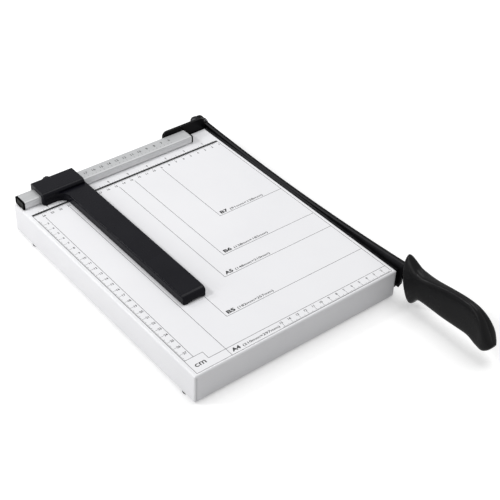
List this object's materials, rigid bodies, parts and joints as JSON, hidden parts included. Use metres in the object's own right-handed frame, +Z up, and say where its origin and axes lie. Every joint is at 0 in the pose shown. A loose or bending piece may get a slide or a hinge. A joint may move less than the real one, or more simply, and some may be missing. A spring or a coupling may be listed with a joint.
{
  "type": "guillotine paper trimmer",
  "caption": "Flat guillotine paper trimmer with a folded steel table, a back rail with a sliding paper guide, and a curved blade on a hinged arm with a moulded handle.",
  "frame": {"origin": "bottom centre of the closed trimmer's box, on the desk under the rubber feet", "axes": "+X towards the blade side, +Y away from the user towards the rail, +Z up"},
  "size_m": [0.2682, 0.4751, 0.0569],
  "materials": {
    "white_powder_coat": "fine satin powder coat",
    "black_paint": "satin black paint",
    "black_plastic": "fine moulded grain",
    "black_rubber": "matte",
    "aluminium": "brushed along its length",
    "tool_steel": "darkened, ground edge",
    "zinc_steel": "zinc plated",
    "bronze": "turned"
  },
  "bodies": {
    "base": {"base_pan": "white_powder_coat", "rubber_feet": "black_rubber", "bed_knife": "tool_steel", "bed_screws": "zinc_steel", "bed_nuts": "zinc_steel", "rail": "aluminium", "rail_cap_left": "black_plastic", "rail_cap_right": "black_plastic", "rail_screws": "zinc_steel", "pivot_bracket": "black_paint", "bracket_bolts": "zinc_steel", "bracket_nuts": "zinc_steel", "pivot_bolt": "zinc_steel", "outer_washer": "zinc_steel", "spring_washer": "zinc_steel", "pivot_nut": "zinc_steel", "stop_sleeve": "black_rubber", "stop_screw": "zinc_steel", "stop_nut": "zinc_steel"},
    "arm": {"arm_bar": "black_paint", "blade": "tool_steel", "blade_rivets": "black_paint", "pivot_bush": "bronze", "handle_left": "black_plastic", "handle_right": "black_plastic", "handle_screws": "zinc_steel"},
    "guide": {"paper_guide": "black_plastic", "guide_insert": "bronze"},
    "lock": {"lock_screw": "black_plastic"}
  },
  "joints": [
    {"name": "arm_hinge", "type": "hinge", "parent": "base", "child": "arm", "pos_m": [0.11908, 0.22555, 0.0285], "axis": [-1, 0, 0], "range_deg": [0, 75]},
    {"name": "guide_slide", "type": "slide", "parent": "base", "child": "guide", "axis": [1, 0, 0], "range_m": [-0.017, 0.117]},
    {"name": "lock_turn", "type": "hinge", "parent": "guide", "child": "lock", "pos_m": [-0.08812, 0.21405, 0.03925], "axis": [0, 1, 0], "range_deg": [0, 360]}
  ]
}
